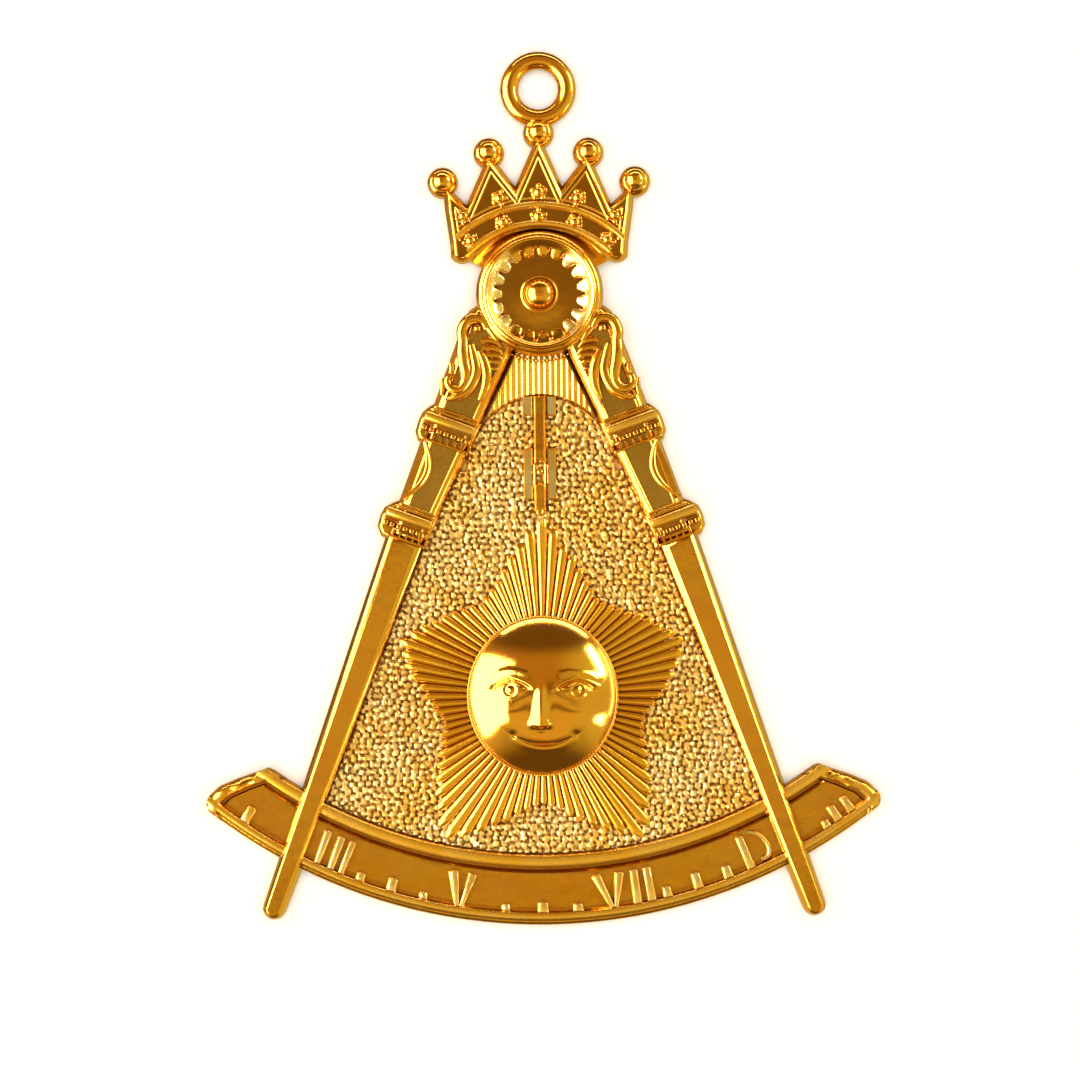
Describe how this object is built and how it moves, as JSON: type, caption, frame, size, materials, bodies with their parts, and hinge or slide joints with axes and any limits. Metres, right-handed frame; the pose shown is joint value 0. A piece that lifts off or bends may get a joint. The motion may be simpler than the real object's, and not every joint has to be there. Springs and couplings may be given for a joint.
{
  "type": "masonic jewel",
  "caption": "Gilt collar jewel: crowned compasses opened on a graduated arc, with a rayed sun face on a pebbled field and a suspension ring at the top.",
  "frame": {"origin": "centre of the bounding box, on the back plane", "axes": "+X to the wearer's left as the front is read left to right, +Y towards the suspension ring, +Z out of the face"},
  "size_m": [0.0678, 0.087, 0.0065],
  "materials": {
    "gilt_polished": "polished",
    "gilt_matt": "satin"
  },
  "bodies": {
    "root": {"suspension_ring": "gilt_polished", "crown": "gilt_polished", "compass_head": "gilt_polished", "left_leg": "gilt_polished", "right_leg": "gilt_polished", "arc_scale": "gilt_polished", "field_plate": "gilt_matt", "star_link": "gilt_polished", "ray_star": "gilt_polished", "sun_face": "gilt_polished"}
  },
  "joints": []
}
